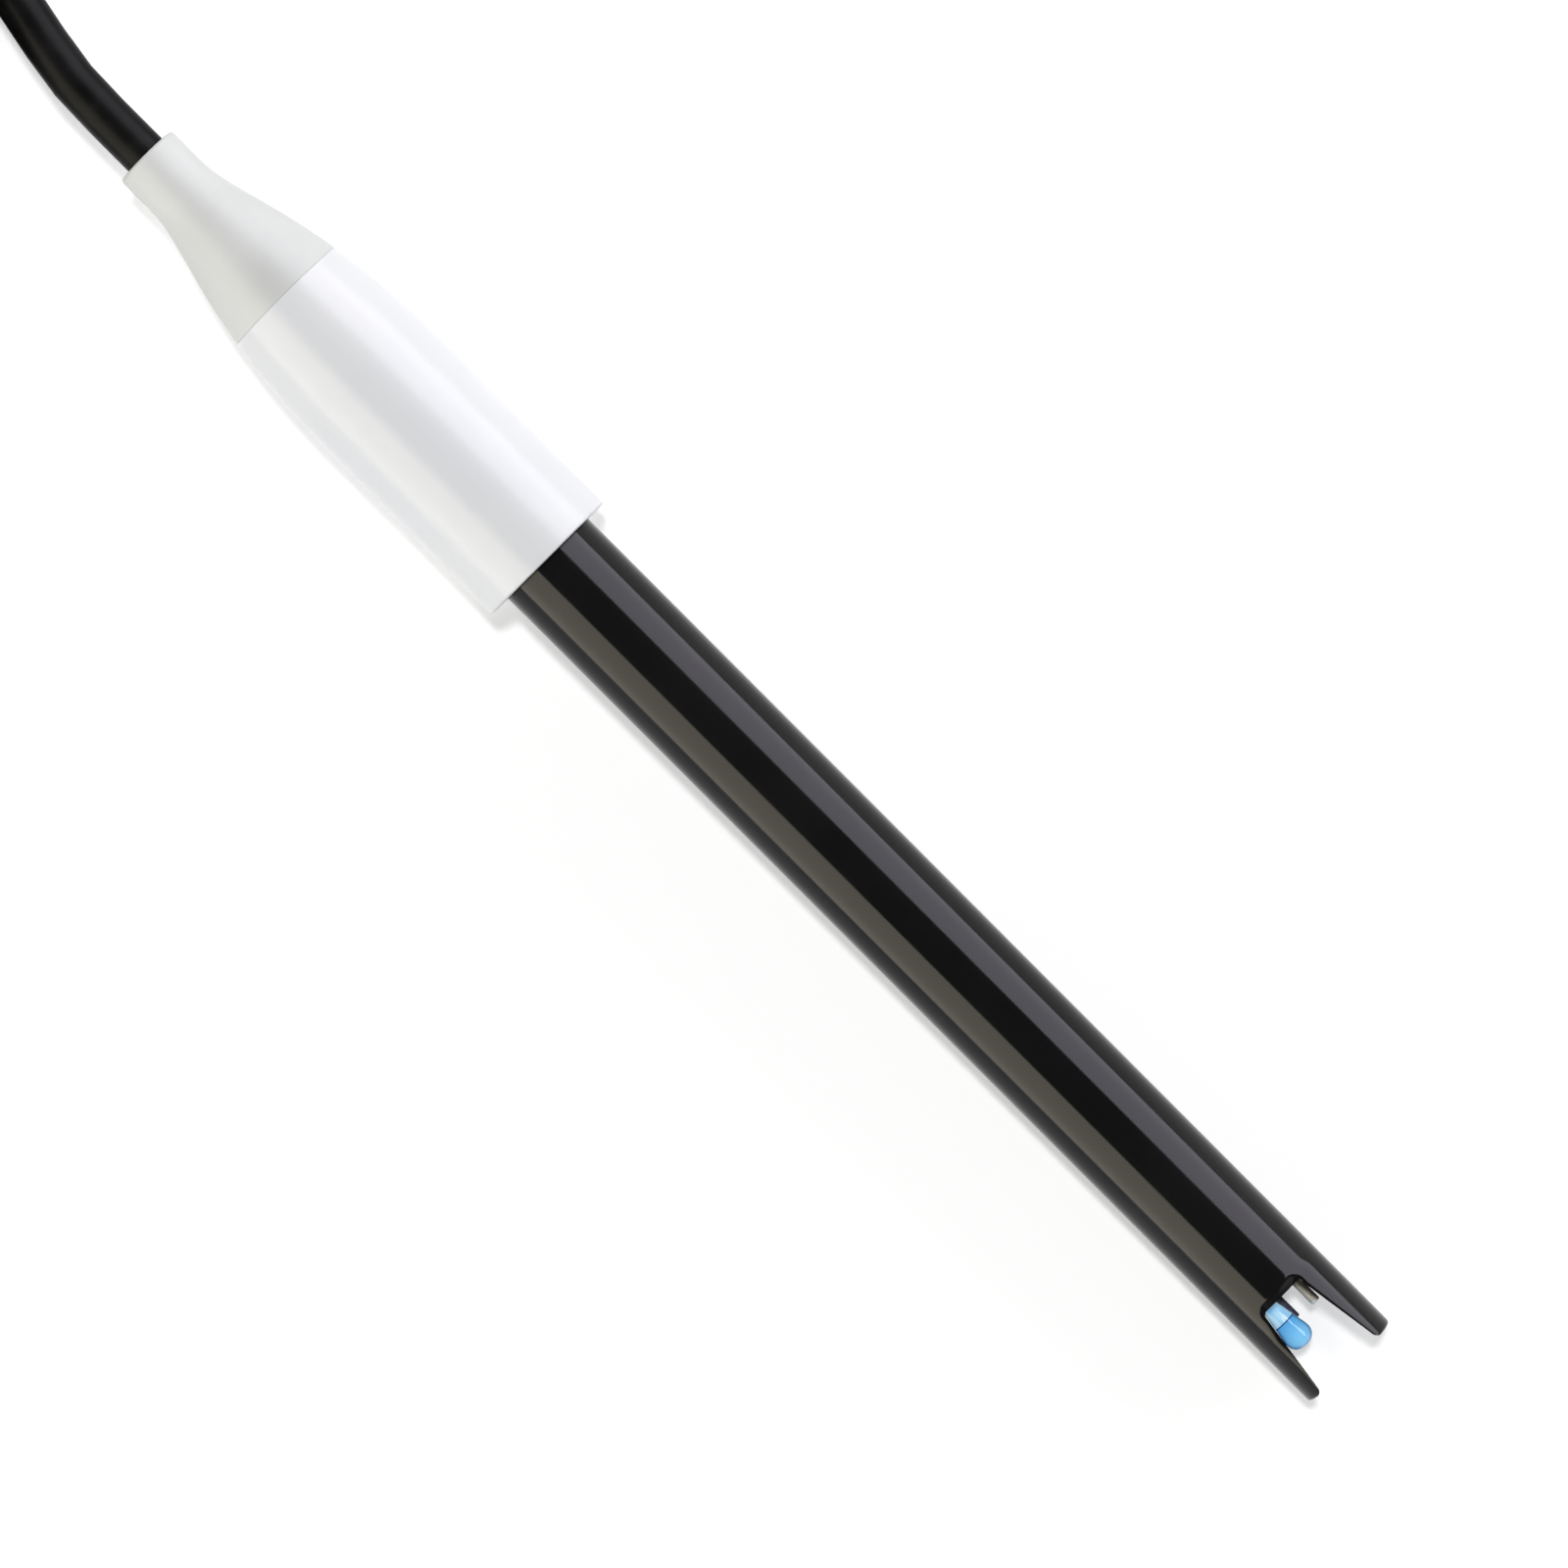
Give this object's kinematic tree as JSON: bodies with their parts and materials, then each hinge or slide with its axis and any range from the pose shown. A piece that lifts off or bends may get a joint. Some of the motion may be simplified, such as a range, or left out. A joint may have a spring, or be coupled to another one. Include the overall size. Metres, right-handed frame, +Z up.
{
  "type": "ph electrode",
  "caption": "Combination pH electrode with a slotted tip guard, glass bulb, tapered cap and boot, coiled cable and bayonet plug, lying on a bench",
  "frame": {"origin": "on the bench, under the middle of the electrode from its tip to the end of its cap", "axes": "+X towards the tip, +Z up, +Y to the side that faces away from the tied cable"},
  "size_m": [0.3586, 0.0428, 0.0216],
  "materials": {
    "black_moulding": "glossy black moulding",
    "white_moulding": "glossy white moulding",
    "matte_boot": "matte off-white moulding",
    "grey_gasket": "matte rubber",
    "pale_glass": "clear pale blue glass",
    "blue_glass": "blue sensing glass",
    "blue_gel": "wet blue gel",
    "silver": "drawn silver",
    "black_resin": "cast black resin",
    "tan_ceramic": "porous tan ceramic",
    "chloride_coat": "dark chloride coat on silver",
    "salt_gel": "wet clear gel",
    "core_insulation": "white insulation",
    "screen_insulation": "dark insulation",
    "shrink_sleeve": "red shrink sleeve",
    "copper": "bare copper",
    "cable_jacket": "satin black jacket",
    "tie_nylon": "black nylon",
    "nickel_plate": "bright nickel plate",
    "spring_steel": "bare spring steel",
    "red_silicone": "matte silicone rubber",
    "white_insulator": "smooth white plastic",
    "gold_plate": "bright gold plate",
    "plug_rubber": "matte black rubber"
  },
  "bodies": {
    "electrode": {"body_tube": "black_moulding", "cap_shell": "white_moulding", "strain_relief_boot": "matte_boot", "cap_gasket": "grey_gasket", "glass_stem": "pale_glass", "ph_bulb": "blue_glass", "bulb_fill": "blue_gel", "inner_wire": "silver", "bulkhead": "black_resin", "reference_junction": "tan_ceramic", "reference_rod": "chloride_coat", "reference_gel": "salt_gel", "top_seal": "black_resin", "core_lead": "core_insulation", "screen_lead": "screen_insulation", "core_sleeve": "shrink_sleeve", "screen_sleeve": "shrink_sleeve", "cable_clamp": "copper", "cable": "cable_jacket", "cable_hank": "cable_jacket", "cable_tie": "tie_nylon", "cable_tail": "cable_jacket", "plug_body": "nickel_plate", "plug_gasket": "red_silicone", "plug_insulator": "white_insulator", "centre_pin": "gold_plate", "crimp_sleeve": "nickel_plate", "plug_boot": "plug_rubber"},
    "spring_seat": {"retaining_clip": "spring_steel", "wave_washer": "spring_steel"},
    "ring": {"coupling_ring": "nickel_plate"}
  },
  "joints": [
    {"name": "ring_push", "type": "slide", "parent": "electrode", "child": "spring_seat", "axis": [-1, 0, 0], "range_m": [0, 0.0007], "stiffness_N_per_m": 800, "deforming": ["wave_washer"]},
    {"name": "ring_turn", "type": "hinge", "parent": "spring_seat", "child": "ring", "pos_m": [-0.2625, 0.001, 0.0072], "axis": [-1, 0, 0], "continuous": true}
  ]
}
